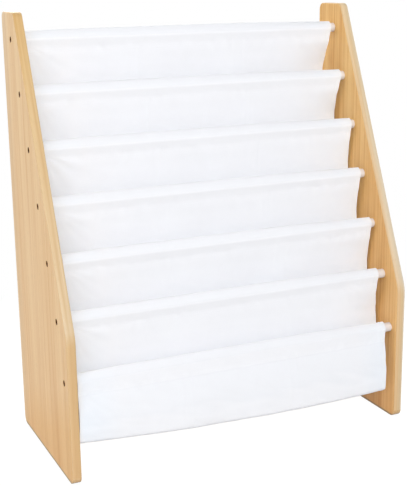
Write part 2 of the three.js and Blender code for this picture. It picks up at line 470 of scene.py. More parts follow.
# where the painted shadow of the lowest pocket lies on an inner face: low down, behind the pocket's
# front
low = height.short_of(0.060, 22.0) * along.past(-0.124, 22.0)
# where painted light lies on an inner face: in front of the lowest pocket, at its height
ahead = along.short_of(-0.104, 40.0) * height.past(0.040, 30.0) * height.short_of(0.165, 30.0)

tone = tone.tinted(GOLDEN, foot * flat)
tone = tone.tinted(GREYER, along.past(0.098, 30.0) * flat)
# painted shade: the lowest few millimetres of each board are darkened
tone = (under * 0.80).blend(tone, UNDERSIDE_SHADE)
tone = tone.tinted(POCKET_SHADOW, low * inward)
tone = tone.tinted(POCKET_SIDE_LIGHT, ahead * inward)
tone = (pores * 0.30).blend(tone, PORE)
# painted shade on the rounded edges, strongest next to the inner face
tone = (start.attribute("eased") * 0.42).blend(tone, EDGE_SHADE)
finish_material(
    start,
    Base_Color=tone,
    Roughness=fibres * 0.10 + 0.40,
    Normal=(fibres * 0.6 + streaks * 0.3 - pores * 0.8).bump(0.00006, 0.6),
    Specular_IOR_Level=0.42,
)
print("wood tones by place:", "foot, rear edge, underside, inner faces")

# %% [markdown]
# ## Side panels
#
# A panel is a 15 mm board: straight back and foot, a short top, and a front that slants
# down to a knee and then drops plumb. Its outline is five rounded corners, and moving
# the outline inwards only shrinks each corner's radius, so the eased edge is a stack of
# such outlines. A Bevel modifier would ease the edges too, but it would also round the
# rims of the countersunk screw holes, which are crisp. Both boards share one shape.

# %% Outline of a panel
TOP_DEPTH = 70
KNEE_HEIGHT = 237.5
KNEE_RADIUS = 60
CORNER_RADIUS = 12
ARRIS = 1.2
front, back = -DEPTH / 2, DEPTH / 2
CORNERS = [
    (front, 0, CORNER_RADIUS),
    (back, 0, CORNER_RADIUS),
    (back, HEIGHT, CORNER_RADIUS),
    (back - TOP_DEPTH, HEIGHT, CORNER_RADIUS),
    (front, KNEE_HEIGHT, KNEE_RADIUS),
]
ARC_STEPS = 14


def outline(inset):
    """The panel's outline as (y, z) points, moved inwards all round."""
    points = []
    for i, (y, z, radius) in enumerate(CORNERS):
        corner = Vector((y, z))
        before = (Vector(CORNERS[i - 1][:2]) - corner).normalized()
        after = (Vector(CORNERS[(i + 1) % len(CORNERS)][:2]) - corner).normalized()
        half = before.angle(after) / 2
        middle = corner + (before + after).normalized() * radius / math.sin(half)
        start_angle = math.atan2(*reversed(corner + before * radius / math.tan(half) - middle))
        turn = math.pi - 2 * half
        for step in range(ARC_STEPS + 1):
            angle = start_angle + turn * step / ARC_STEPS
            reach = radius - inset
            points.append((middle.x + reach * math.cos(angle), middle.y + reach * math.sin(angle)))
    return points


print("points round a panel:", len(outline(0)))

# %% Holes through a panel
HEAD_RADIUS = 4.75
SHANK_RADIUS = 2.5
SCREW_FIT = 0.3
HEAD_RECESS = 0.3
HEAD_RIM = 0.5
HOLE_SIDES = 32
cone_end = HEAD_RECESS + HEAD_RIM + HEAD_RADIUS - SHANK_RADIUS
# how wide and how deep the sharp edge of a hole is broken
BROKEN_WIDTH = 0.25
BROKEN_DEPTH = 0.3
# radius of a hole at each depth below the outer face
HOLE = [
    (HEAD_RADIUS + SCREW_FIT + BROKEN_WIDTH, 0.0),
    (HEAD_RADIUS + SCREW_FIT, BROKEN_DEPTH),
    (HEAD_RADIUS + SCREW_FIT, HEAD_RECESS + HEAD_RIM),
    (SHANK_RADIUS + SCREW_FIT, cone_end),
    (SHANK_RADIUS + SCREW_FIT, BOARD),
]


def circle(middle, radius, sides):
    """Points round a circle in the YZ plane."""
    turns = [2 * math.pi * k / sides for k in range(sides)]
    return [(middle[0] + radius * math.cos(a), middle[1] + radius * math.sin(a)) for a in turns]


print("deepest countersink", round(cone_end, 2), "mm")

# %% Shape of a panel
ARRIS_STEPS = 5
ARRIS_TONE = 3.2  # how far the painted shade of a rounded edge runs onto the rim


def panel_rings():
    """(x, inset) of each ring, from the inner face round the rim to the outer face."""
    half = []
    for step in range(ARRIS_STEPS + 1):
        angle = math.pi / 2 * step / ARRIS_STEPS
        half.append((ARRIS * (1 - math.cos(angle)), ARRIS * (1 - math.sin(angle))))
    half.append((ARRIS_TONE, 0))
    return half + [(BOARD - x, inset) for x, inset in reversed(half)]


def filled(vertices, loops, inner):
    """Triangles that fill a flat face between its outline and its holes."""
    joined = [i for loop in loops for i in loop]
    polygons = [[Vector((vertices[i][1], vertices[i][2], 0)) for i in loop] for loop in loops]
    faces = []
    for a, b, c in tessellate_polygon(polygons):
        corner = [Vector(vertices[joined[i]]).yz for i in (a, b, c)]
        area = (corner[1] - corner[0]).cross(corner[2] - corner[0])
        order = (a, b, c) if (area > 0) != inner else (a, c, b)
        faces.append(tuple(joined[i] for i in order))
    return faces


def panel_shape():
    """Points and faces of a board, and how many of the faces, from the first, are its rim."""
    rings = panel_rings()
    size = len(outline(0))
    vertices = [(x, y, z) for x, inset in rings for y, z in outline(inset)]
    faces = ring_faces(0, len(rings), size)
    rim = len(faces)
    holes = []
    for middle in DOWELS:
        holes.append(len(vertices))
        for radius, depth in HOLE:
            vertices += [(BOARD - depth, y, z) for y, z in circle(middle, radius, HOLE_SIDES)]
        faces += ring_faces(holes[-1], len(HOLE), HOLE_SIDES)

    # a hole starts at the outer face, and its last ring lies in the inner one
    far = (len(HOLE) - 1) * HOLE_SIDES
    for edge, shift, inner in ((0, far, True), ((len(rings) - 1) * size, 0, False)):
        loops = [range(edge, edge + size)]
        loops += [range(h + shift, h + shift + HOLE_SIDES) for h in holes]
        faces += filled(vertices, loops, inner)
    return vertices, faces, rim


BOARD_POINTS, BOARD_FACES, RIM_FACES = panel_shape()
print("a board has", len(BOARD_FACES), "faces, and", RIM_FACES, "of them are its rim")

# %% [markdown]
# ## Grain and tones of each board
#
# No two boards are cut from the same place in a plank. So each face corner stores where it
# lies in the wood, and what multiplies the wood's colour there. The right board's darker,
# oranger tints are partly its own tone and partly painted shade and warm bounce light on its
# inner face. A second material would do it too, but then every change to the wood would
# have to be made twice.

# %% Tones of the boards
# what multiplies the wood's colour at the foot and at the top of each board, where the right
# board's darker, oranger tints are partly painted shade and bounce light
FACE_TINTS = {
    -1: ((1.07, 0.98, 0.86), (1.10, 1.10, 1.12)),
    1: ((1.02, 0.815, 0.565), (1.02, 0.90, 0.625)),
}
# the same for the edge strips, at each of these heights, where the paler tints on the slant above
# the knee are partly a painted sheen of light from above
RIM_HEIGHTS = (0, 222, 252, 711)
RIM_TINTS = {
    -1: ((0.81, 0.76, 0.71), (0.77, 0.74, 0.69), (0.75, 0.82, 0.94), (0.715, 0.655, 0.49)),
    1: ((0.815, 0.845, 0.90), (0.835, 0.855, 0.91), (0.81, 0.94, 1.22), (0.82, 0.88, 0.97)),
}
# and across each edge strip, from its left side to its right side, with painted shade on its greyer
# side, where the rounded edge turns from the light
RIM_SIDES = {
    -1: ((1.05, 1.04, 1.06), (0.97, 0.96, 0.94)),
    1: ((1.08, 0.99, 0.88), (0.91, 0.98, 1.10)),
}
# how strongly each board's figure shows, and that of its edge strips
FIGURE = {-1: 1.05, 1: 1.6}
RIM_FIGURE = 1.4
# how strongly the golden foot and the greyer rear edge show on each board
AGEING = {-1: 1.0, 1: 0.4}
# how dark the painted shade of each ring is from the inner face to the rim, and the share of it
# outside
EASED_TONES = (0.0, 0.25, 0.55, 0.75, 0.75, 0.5, 0.0)
OUTER_EASED = 0.2
# how fast the grain changes through the thickness of a board
GRAIN_THROUGH = 0.35
# how far away in the wood the edge strips are cut from
STRIP_FROM = 500


def between(pair, share):
    return [low + (high - low) * share for low, high in zip(*pair)]


def dress_board(mesh, hand, seed, rim_seed):
    """Stores where each face corner lies in the wood, in metres, and its tones."""
    size = len(outline(0))
    lengths = run(outline(0))
    vertex = np.zeros(len(mesh.loops), np.int32)
    mesh.loops.foreach_get("vertex_index", vertex)
    face = np.repeat(np.arange(len(mesh.polygons)), [p.loop_total for p in mesh.polygons])
    x, y, z = np.array(BOARD_POINTS)[vertex].T
    row, place = np.divmod(vertex, size)
    from_edge = np.minimum(row, len(panel_rings()) - 1 - row)
    strip = (face < RIM_FACES) & (from_edge >= ARRIS_STEPS // 2)

    # the last face of each ring closes it, and its far corners come after all the others
    closing = (face % size == size - 1) & (place == 0)
    along = np.where(closing, lengths[-1] + 1, lengths[place])
    on_face = np.column_stack([y, z, x * GRAIN_THROUGH + seed])
    on_strip = np.column_stack([x + rim_seed, along, np.full(len(x), STRIP_FROM + rim_seed)])
    grain = np.where(strip[:, None], on_strip, on_face)

    sides = between(RIM_SIDES[hand], x / BOARD if hand > 0 else 1 - x / BOARD)
    stops = zip(*RIM_TINTS[hand])
    on_strip = [np.interp(z, RIM_HEIGHTS, each) * side for each, side in zip(stops, sides)]
    on_face = between(FACE_TINTS[hand], z / HEIGHT)
    tints = np.where(strip, on_strip, on_face).T
    store(mesh, "grain", "FLOAT_VECTOR", "CORNER", grain * MM)
    store(mesh, "tint", "FLOAT_COLOR", "CORNER", np.column_stack([tints, np.ones(len(x))]))
    store(mesh, "figure", "FLOAT", "CORNER", np.where(strip, RIM_FIGURE, FIGURE[hand]))
    store(mesh, "flat", "FLOAT", "CORNER", np.where(strip, 0, AGEING[hand]))
    tones = np.array(EASED_TONES)
    tones = np.repeat(np.concatenate([tones, tones[::-1] * OUTER_EASED]), size)
    eased = np.zeros(len(BOARD_POINTS))
    eased[: len(tones)] = tones
    store(mesh, "eased", "FLOAT", "POINT", eased)


print("rings round a board:", len(panel_rings()))

# %% Make both boards
# each board, and its edge strip, is cut from its own place in the wood
for side_name, hand, seed, rim_seed in (("left", -1, 3826, 8012), ("right", 1, 723, 4941)):
    placed = (np.array(BOARD_POINTS) + (INNER, 0, 0)) * (hand, 1, 1)
    # mirrored points turn every face inside out, so the left board's faces are turned over
    faces = BOARD_FACES if hand > 0 else turned_over(BOARD_FACES)
    made = piece(f"board_{side_name}", placed * MM, faces, wood, sharp_angle=32)
    dress_board(made.data, hand, seed, rim_seed)
    made.modifiers.new("even_shading", "WEIGHTED_NORMAL").keep_sharp = True
    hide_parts(f"side_panel_{side_name}")
    print(made.name, len(made.data.polygons), "faces")

# %% [markdown]
# ## Dowels
#
# The dowels are turned wood under white satin paint. Paint fills the grain but not
# quite: faint ridges run along the dowel, and the colour is a touch warm. A dowel is a
# row of rings with a small rounded edge at each end and a bore for its screw, all in one
# profile, where a cylinder primitive would need its bores cut afterwards.

# %% Painted dowels
PAINT = (0.755, 0.737, 0.750, 1)
PAINT_DULLER = (0.69, 0.67, 0.675, 1)
paint, start = new_material("white_paint")
spot = start.coordinates("Object")
ridges = spot.scaled(22.0, 900.0, 900.0).noise(2.0, 0.55)
cloudy = spot.scaled(30.0, 60.0, 60.0).noise(1.0)
finish_material(
    start,
    Base_Color=(cloudy * 0.5 + ridges * 0.3).blend(PAINT, PAINT_DULLER),
    Roughness=ridges * 0.16 + 0.34,
    Normal=ridges.bump(0.00005, 0.5),
    Specular_IOR_Level=0.5,
)

DOWEL_SIDES = 48
DOWEL_EDGE = 0.7
EDGE_STEPS = 3
BORE_DEPTH = 37.3
BORE_TIP = 1.5
# a ring here keeps the smooth shading of the rounded end off the long plain part
PLAIN_FROM = 24


def dowel_profile():
    """(radius, x) from the tip of the left bore, over the rod, to that of the right one."""
    bore = SHANK_RADIUS + SCREW_FIT
    tip = INNER - BORE_DEPTH
    half = [(0.01, tip), (bore, tip + BORE_TIP), (bore, INNER)]
    for step in range(EDGE_STEPS + 1):
        angle = math.pi / 2 * step / EDGE_STEPS
        radius = DOWEL_RADIUS - DOWEL_EDGE + DOWEL_EDGE * math.sin(angle)
        half.append((radius, INNER - DOWEL_EDGE + DOWEL_EDGE * math.cos(angle)))
    half.append((DOWEL_RADIUS, INNER - PLAIN_FROM))
    return [(radius, -x) for radius, x in half] + [(radius, x) for radius, x in reversed(half)]


for number, middle in enumerate(DOWELS, 1):
    profile = dowel_profile()
    vertices = [(x, y, z) for radius, x in profile for y, z in circle(middle, radius, DOWEL_SIDES)]
    faces = turned_over(ring_faces(0, len(profile), DOWEL_SIDES, ends=True))
    rod = piece(f"rod_{number}", np.array(vertices) * MM, faces, paint, sharp_angle=40)
    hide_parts(f"dowel_{number}")
print("dowels", len(DOWELS))

# %% [markdown]
# ## Screws
#
# Dark bronze screws with a hexagon socket hold each dowel end. One loft from the bottom
# of the socket, over the head and down the thread to the tip makes a whole screw. The
# thread is a ridge whose place along the screw moves on as the angle turns. A texture
# could fake it, but the tip and the thread would then show no shape in an exploded view.

# %% Bronze screws
BRONZE = (0.075, 0.028, 0.008, 1)
BRONZE_RUBBED = (0.190, 0.085, 0.028, 1)
bronze, start = new_material("dark_bronze")
mottle = start.coordinates("Object").scaled(900.0, 900.0, 900.0).noise(3.0, 0.6)
rubbed = start.node("NewGeometry", {}, {}, "Pointiness").past(0.52, 9.0)
finish_material(
    start,
    Base_Color=(mottle * 0.6 + rubbed * 0.6).blend(BRONZE, BRONZE_RUBBED),
    Metallic=0.9,
    Roughness=mottle * 0.22 + 0.40,
    Normal=mottle.bump(0.00004, 0.4),
    Specular_IOR_Level=0.3,
    Specular_Tint=(0.42, 0.24, 0.12, 1),
)

SCREW_LENGTH = 50
SCREW_SIDES = 24
SOCKET_FLATS = 4
SOCKET_DEPTH = 2.2
THREAD_PITCH = 2.8
THREAD_CORE = 1.75
THREAD_WIDTH = 0.24  # half the width of the ridge, as a share of the pitch
TIP_LENGTH = 5
TIP_SHARE = 0.12
PLAIN_SHANK = 10
SMOOTH_ROWS = 8
# what rounds the head's outer edge
HEAD_EDGE = 0.25


def hexagon(turn):
    """Distance from the middle of the socket to its wall in that direction."""
    within = (turn + math.pi / 6) % (math.pi / 3) - math.pi / 6
    return SOCKET_FLATS / 2 / math.cos(within)


def screw_rings():
    """(radius in each direction, x) from the socket's bottom to the tip."""
    turns = np.linspace(0, 2 * math.pi, SCREW_SIDES, endpoint=False)
    socket = np.array([hexagon(t) for t in turns])
    even = np.ones(SCREW_SIDES)
    rings = [
        (even * 0.01, -SOCKET_DEPTH - 0.5),
        (socket * 0.97, -SOCKET_DEPTH),
        (socket, -0.2),
        (socket + 0.2, 0),
        (even * (HEAD_RADIUS - HEAD_EDGE), 0),
        (even * (HEAD_RADIUS - 0.07), -0.07),
        (even * HEAD_RADIUS, -HEAD_EDGE),
        (even * HEAD_RADIUS, -HEAD_RIM),
        (even * SHANK_RADIUS, HEAD_RECESS - cone_end),
        (even * SHANK_RADIUS, -PLAIN_SHANK),
    ]
    threaded = SCREW_LENGTH - PLAIN_SHANK
    rows = int(threaded / THREAD_PITCH * SMOOTH_ROWS)
    for row in range(1, rows + 1):
        along = threaded * row / rows
        phase = (along / THREAD_PITCH - turns / (2 * math.pi)) % 1
        ridge = np.clip(1 - np.abs(phase - 0.5) / THREAD_WIDTH, 0, 1)
        grown = min(1, along / THREAD_PITCH)
        radius = THREAD_CORE + (SHANK_RADIUS - THREAD_CORE) * ridge
        radius = SHANK_RADIUS * (1 - grown) + radius * grown
        taper = min(1, TIP_SHARE + (1 - TIP_SHARE) * (threaded - along) / TIP_LENGTH)
        rings.append((radius * taper, -PLAIN_SHANK - along))
    return turns, rings


turns, rings = screw_rings()
vertices = [
    (x, r * math.cos(t), r * math.sin(t)) for radius, x in rings for r, t in zip(radius, turns)
]
faces = ring_faces(0, len(rings), SCREW_SIDES, ends=True)

# the sockets aren't turned alike: each screw stops where the driver left it
TURN_STEP = 0.35
LEFT_TURN = 1.1
for side_name, hand in (("left", -1), ("right", 1)):
    for number, middle in enumerate(DOWELS, 1):
        name = f"bolt_{side_name}_{number}"
        bolt = piece(name, np.array(vertices) * MM, faces, bronze, sharp_angle=38)
        place = Vector((hand * (INNER + BOARD - HEAD_RECESS), *middle)) * MM
        turn = TURN_STEP * number + (0 if hand > 0 else LEFT_TURN)
        bolt.matrix_world = (
            Matrix.Translation(place)
            @ Matrix.Rotation(0 if hand > 0 else math.pi, 4, "Z")
            @ Matrix.Rotation(turn, 4, "X")
        )
        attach(bolt, "root")
        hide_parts(f"screw_{side_name}_{number}")
print("a screw has", len(vertices), "points")

# %% [markdown]
# ## Canvas
#
# The cloth is white cotton canvas in plain weave, where each thread passes over one
# and under the next. The weave comes from two sine waves across the threads, and the
# sign of their product says which thread is on top. It reads an attribute called thread,
# the place in the flat cloth in metres, so the weave follows every fold. Painted shade
# darkens the weave between the threads. Slubs, which are thicker stretches of yarn, keep
# it from looking printed, as a repeated picture of canvas would. Cloth that faces up gets
# painted shade, which darkens the tops of the sleeves. The boards throw warm light on the
# cloth's ends, and a cooler white there evens it out.

# %% Canvas material
THREAD = 0.00062
canvas, start = new_material("white_canvas")
thread = start.attribute("thread", "Vector")
warp_wave = (thread.part("X") * (math.pi / THREAD)).maths("SINE")
weft_wave = (thread.part("Y") * (math.pi / THREAD)).maths("SINE")
warp = warp_wave.maths("ABSOLUTE")
weft = weft_wave.maths("ABSOLUTE")
over = (warp_wave * weft_wave).maths("GREATER_THAN", 0.0)
yarn = over * warp * (weft * 0.4 + 0.6) + (1 - over) * weft * (warp * 0.4 + 0.6)
slubs = thread.scaled(1500.0, 90.0, 1.0).noise(1.0) + thread.scaled(90.0, 1500.0, 1.0).noise(1.0)
soft = thread.scaled(35.0, 35.0, 1.0).noise(3.0, 0.5)

CLOTH = (0.905, 0.913, 0.945, 1)
COOLER = (0.96, 1.0, 1.03, 1)
BETWEEN = (0.83, 0.835, 0.865, 1)
UPWARD_SHADE = (0.94, 0.945, 0.95, 1)
# painted shade between the threads of the weave, mixed with the slubs and soft noise that are the
# yarn's own tone
shade = ((1 - yarn) * 0.20 + (slubs - 1) * 0.35 + (soft - 0.5) * 0.25).clamped()
near_board = start.coordinates("Object").part("X").maths("ABSOLUTE").past(0.215, 14.0)
# painted shade on cloth that faces up, above all on the tops of the sleeves
facing = start.coordinates("Normal").part("Z")
upward = facing.past(-0.02, 6.0) * facing.short_of(0.97, 5.0)
finish_material(
    start,
    Base_Color=shade.blend(CLOTH, BETWEEN).tinted(COOLER, near_board).tinted(UPWARD_SHADE, upward),
    Roughness=0.92,
    Normal=(yarn + slubs * 0.5).bump(0.00012, 0.45),
    Specular_IOR_Level=0.22,
    Sheen_Weight=0.10,
    Sheen_Roughness=0.5,
)
print("threads per centimetre", round(0.01 / THREAD))

# %% [markdown]
# ## How a pocket hangs
#
# Each pocket is one length of canvas. It starts at the back of a dowel, goes over the
# top as a sewn sleeve, drops as the rear wall, turns at a rounded bottom, and rises as
# the front wall, which is sewn behind the next sleeve. The lowest pocket has nothing in
# front of it, so its front wall swells forward and ends in a sleeve of its own, sewn a
# little further forward. Packing has pressed every sleeve flat, and its fold still stands
# above the dowel as a soft ridge. A section through the cloth, carried across the width,
# gives the whole sheet, and keeps it on its dowels and clear of its neighbours, which a
# cloth simulation would have to find.

# %% Section of a pocket
CLOTH_THICKNESS = 0.45
CLOTH_WIDTH = 560
SLEEVE_EASE = 0.9
SLEEVE_RADIUS = DOWEL_RADIUS + SLEEVE_EASE
SLEEVE_POINTS = 60
# how high the pressed fold stands, and how much narrower it makes the sleeve
RIDGE = 4.8
RIDGE_PINCH = 0.4
# the stitched strip: its plies, its depths below a dowel, and how far forward it lies
PLY_PITCH = 1.5
SEAM_DROP = 17
SEAM_BOTTOM = 23
SEAM_FORWARD = 3
LAST_SEAM_FORWARD = 6.2


def smooth(value, start=0.0, over=1.0):
    """0 up to the start, rising gently to 1 over that length."""
    share = np.clip((value - start) / over, 0, 1)
    return share * share * (3 - 2 * share)


def catmull(points, steps):
    """A smooth curve through the points."""
    points = np.array(points, float)
    spans = len(points) - 1
    place = np.linspace(0, spans, steps + 1)
    i = np.minimum(place.astype(int), spans - 1)
    t = (place - i)[:, None]
    p0, p1, p2, p3 = (points[np.clip(i + shift, 0, spans)] for shift in (-1, 0, 1, 2))
    v0, v1 = (p2 - p0) / 2, (p3 - p1) / 2
    bend = 3 * (p2 - p1) - 2 * v0 - v1
    return p1 + v0 * t + bend * t**2 + (2 * (p1 - p2) + v0 + v1) * t**3


def spaced(points, step):
    """The same line with its points an even step apart."""
    points = np.array(points, float)
    lengths = run(points)
    count = max(1, round(lengths[-1] / step))
    even = np.linspace(0, lengths[-1], count + 1)
    return np.column_stack([np.interp(even, lengths, points[:, k]) for k in (0, 1)])


def sleeve_point(angle):
    """A point of the sleeve, whose pressed fold stands above the dowel as a soft ridge."""
    up = max(math.sin(angle), 0.0)
    narrow = 1 - RIDGE_PINCH * up**3
    return SLEEVE_RADIUS * math.cos(angle) * narrow, SLEEVE_RADIUS * math.sin(angle) + RIDGE * up**2


def sleeve_path(forward):
    """From the foot of the back ply, over the dowel, to the foot of the front ply."""
    plies = [np.array((side * PLY_PITCH / 2 - forward, -SEAM_DROP)) for side in (1, -1)]
    angles = []
    for ply, side in zip(plies, (1, -1)):
        spread = math.acos(SLEEVE_RADIUS / np.linalg.norm(ply))
        angles.append(math.atan2(ply[1], ply[0]) + side * spread)
    start_angle, end_angle = angles[0], angles[1] + 2 * math.pi
    loop = [sleeve_point(a) for a in np.linspace(start_angle, end_angle, SLEEVE_POINTS)]
    return [(plies[0][0], -SEAM_BOTTOM), plies[0], *loop, plies[1], (plies[1][0], -SEAM_BOTTOM)]


print("sleeve radius", SLEEVE_RADIUS, "mm")

# %% Lay out a pocket's path
POCKETS = len(DOWELS) - 1
# over what depth the bend at the stitched strip is eased, and how often it is averaged
SEAM_EASE = 14
EASE_PASSES = 60
# the rounded bottom: its depth below the next dowel, and how far behind that dowel it is
POCKET_DEPTH = 112
FOLD_RADIUS = 7
HELD_BACK = 9.85
# the lowest pocket's bottom is that far in front of it, and its wall swells at this depth
BELLY = 12
BELLY_DROP = 70
# how finely the curves are drawn, and then the distances between rows of the mesh,
# closest where the cloth bends most
WALL_POINTS = 120
RISE_POINTS = 90
FOLD_POINTS = 24
SLEEVE_STEP = 1.5
FOLD_STEP = 2.0
ROW_STEP = 3.2
HIDDEN_STEP = 6.0
HIDDEN_FROM = 6
# over what depth a wall leaves the folds of one tier for those of the next
TIER_BLEND = 60


def eased_seam(line, rear):
    """The same line, bending gently from the sleeve to the wall at the stitched strip."""
    drop = rear[1] - line[:, 1]
    near = smooth(1 - np.abs(drop - (SEAM_DROP + SEAM_BOTTOM) / 2) / SEAM_EASE)
    soft = line.copy()
    for _ in range(EASE_PASSES):
        soft[1:-1, 0] = (soft[:-2, 0] + 2 * soft[1:-1, 0] + soft[2:, 0]) / 4
    line[:, 0] += (soft[:, 0] - line[:, 0]) * near
    return line


def pocket_path(i):
    """Rows of (y, z, zone, next zone's share) along pocket i, and where its parts start.

    The zone is the dowel that the cloth hangs below, counted from 0. The share is 0 where
    the cloth moves with that zone and 1 where it moves with the next one."""
    rear, fore = np.array(DOWELS[i]), np.array(DOWELS[i + 1])
    last = i == POCKETS - 1
    drop = rear[1] - fore[1]
    bottom = fore + (-BELLY if last else HELD_BACK, FOLD_RADIUS - POCKET_DEPTH)
    sleeve = np.array(sleeve_path(SEAM_FORWARD)) + rear
    crest = SLEEVE_POINTS // 2
    wall = catmull(
        [
            sleeve[-1],
            rear + (0, -drop * 0.55),
            rear + (0, -drop),
            rear + ((bottom[0] + FOLD_RADIUS - rear[0]) / 2, -drop - POCKET_DEPTH / 2),
            bottom + (FOLD_RADIUS, 0),
        ],
        WALL_POINTS,
    )
    turns = np.linspace(0, -math.pi, FOLD_POINTS)
    fold = bottom + FOLD_RADIUS * np.column_stack([np.cos(turns), np.sin(turns)])
    if last:
        own = np.array(sleeve_path(LAST_SEAM_FORWARD))[::-1] + fore
        front = [fore + (-BELLY - FOLD_RADIUS, -BELLY_DROP), own[0]]
    else:
        lapped = 1.5 * PLY_PITCH - SEAM_FORWARD
        front = [
            fore + (PLY_PITCH + 1.5, -POCKET_DEPTH / 2),
            fore + (lapped, -SEAM_BOTTOM),
            fore + (lapped, -SEAM_DROP),
        ]
    rise = catmull([bottom + (-FOLD_RADIUS, 0), *front], RISE_POINTS)
    falling = eased_seam(spaced(np.vstack([sleeve[crest:], wall[1:]]), 1.0), rear)
    seen = falling[:, 1] >= fore[1] - HIDDEN_FROM
    shown, hidden = falling[seen], falling[~seen]
    seam = next(k for k in range(10, len(shown)) if shown[k, 1] <= rear[1] - SEAM_BOTTOM)
    parts = [
        ("sleeve", spaced(np.vstack([sleeve[:crest], shown[: seam + 1]]), SLEEVE_STEP), i),
        ("wall", spaced(shown[seam:], ROW_STEP)[1:], i),
        ("drop", spaced(np.vstack([shown[-1:], hidden]), HIDDEN_STEP)[1:], i),
        ("fold", spaced(fold, FOLD_STEP)[1:], i + 1),
        ("rise", spaced(rise, ROW_STEP if last else HIDDEN_STEP)[1:], i + 1),
    ]
    if last:
        parts.append(("end", spaced(own, SLEEVE_STEP)[1:], i + 1))
    rows, starts = [], {}
    for name, points, zone in parts:
        starts[name] = len(rows)
        for y, z in points:
            share = smooth(fore[1] - z, 0, TIER_BLEND) if name == "drop" else 0.0
            rows.append((y, z, zone, share))
    return np.array(rows), starts


for i in range(POCKETS):
    rows, starts = pocket_path(i)
    print("pocket", i + 1, "rows", len(rows), "length", round(run(rows[:, :2])[-1]), "mm")

# %% [markdown]
# ## Creases, pulls and puckers
#
# New canvas keeps the creases from its packing, and it pulls into slanting folds from
# the corners where it is held. Along a seam the needle gathers it into small puckers.
# A simulation can make such folds, but it can't be told where they are, and here they
# are known from the photograph. So each kind is a small formula over the place across
# the cloth and the depth below a dowel, and all layers below one dowel share it, which
# keeps them apart.

# %% Ends of the cloth
# where each tier's right edge lies across the shelf, at depths below its dowel
RIGHT_DEPTHS = (0, 34, 56, 80, 112)
RIGHT_EDGES = (
    (279.0, 277.8, 279.6, 277.2, 276.8),
    (279.9, 276.8, 281.1, 282.0, 281.9),
    (281.0, 281.7, 284.2, 284.7, 284.4),
    (279.2, 279.5, 281.1, 281.9, 282.0),
    (280.6, 281.8, 284.2, 284.5, 284.6),
    (273.8, 274.8, 281.2, 284.0, 284.2),
    (273.8, 274.2, 273.6, 273.5, 273.3),
)
# its left edge at the dowel and at the pocket's bottom, which differ on the lowest tier
LEFT_EDGES = [(x, x) for x in (-281.0, -280.5, -280.0, -280.5, -280.0, -284.0)]
LEFT_EDGES.append((-284.0, -287.2))
# how far its free right end swings back, and over what width
RIGHT_SWINGS = (14.0, 12.0, 3.0, 3.0, 5.0, 7.0, 1.0)
SWING_WIDTH = 110


def edges_at(zone, depth):
    """The cloth's left and right ends below that dowel, in millimetres."""
    right_end = float(np.interp(depth, RIGHT_DEPTHS, RIGHT_EDGES[zone]))
    left_end = float(np.interp(depth, (30, 100), LEFT_EDGES[zone]))
    return left_end, right_end


print("tier 1 ends", edges_at(0, 0), "tier 7 ends", edges_at(6, 110))

# %% Folds below each dowel
rng = np.random.default_rng(2779)


def ripple_set(count, shortest, longest, across):
    """Random waves as (x wave number, depth wave number, phase, size)."""
    lengths = rng.uniform(shortest, longest, count)
    lean = rng.normal(0, 0.35, count) + (0 if across else math.pi / 2)
    waves = 2 * math.pi / lengths
    phases = rng.uniform(0, 2 * math.pi, count)
    return np.column_stack([waves * np.cos(lean), waves * np.sin(lean), phases, lengths / longest])


def crease_places():
    """A pair of packing creases close to each third of the width, as shares of it."""
    thirds = np.array([[1], [2]]) / 3 + rng.normal(0, 0.010, (2, 1))
    return (thirds + np.array([-1, 1]) * rng.uniform(0.008, 0.016, (2, 1))).ravel()


PUCKERS = 26
TIERS = [
    {
        "waves": ripple_set(5, 70, 190, True),
        "crumple": ripple_set(9, 16, 46, True),
        "drag": ripple_set(5, 18, 40, False),
        "creases": crease_places(),
        "crease_size": rng.uniform(0.10, 0.34, 4) * (1, -1, -1, 1),
        "puckers": rng.uniform(0.02, 0.98, PUCKERS),
        "pucker_size": rng.uniform(0.15, 0.55, PUCKERS) * rng.choice((-1, 1), PUCKERS),
        "pucker_lean": rng.normal(0, 0.5, PUCKERS),
        "fan": np.radians((18, 34, 50, 66)) + rng.normal(0, 0.05, 4),
        "fan_size": rng.uniform(0.4, 1.1, 4),
    }
    for _ in DOWELS
]
print("tiers with their own folds:", len(TIERS))

# %% How far the folds push the cloth
CREASE_WIDTH = 1.8
PUCKER_WIDTH = 5.5
# the depth below a dowel at which puckers and slanting folds start
GATHERED_AT = 20
FAN_FROM = 8
FAN_WIDTH = 0.12
# how far from the corner they are full, and from where and over what length they fade
FAN_FULL = 35
FAN_FADES = (50, 110)
# sizes in millimetres: the swell of each third, the curl of both ends, and the waves
THIRDS = 1.0
END_CURL = 4.0
WAVES = 0.85
CRUMPLE = 0.13
DRAG = 0.16
LAST_DRAG = 0.5
LEFT_FAN = 1.0
RIGHT_FAN = 0.25


def ripples(waves, x, depth):
    total = sum(size * np.sin(a * x + d * depth + phase) for a, d, phase, size in waves)
    return total / math.sqrt(len(waves))


def fan(tier, from_corner, depth):
    """Folds that spread from a corner of the sleeve, downwards and inwards."""
    reach = np.hypot(from_corner, depth - FAN_FROM) + 1e-6
    angle = np.arctan2(from_corner, np.maximum(depth - FAN_FROM, 0.1))
    total = sum(
        size * np.exp(-(((angle - middle) / FAN_WIDTH) ** 2))
        for middle, size in zip(tier["fan"], tier["fan_size"])
    )
    return -total * smooth(reach, 0, FAN_FULL) * (1 - smooth(reach, *FAN_FADES))


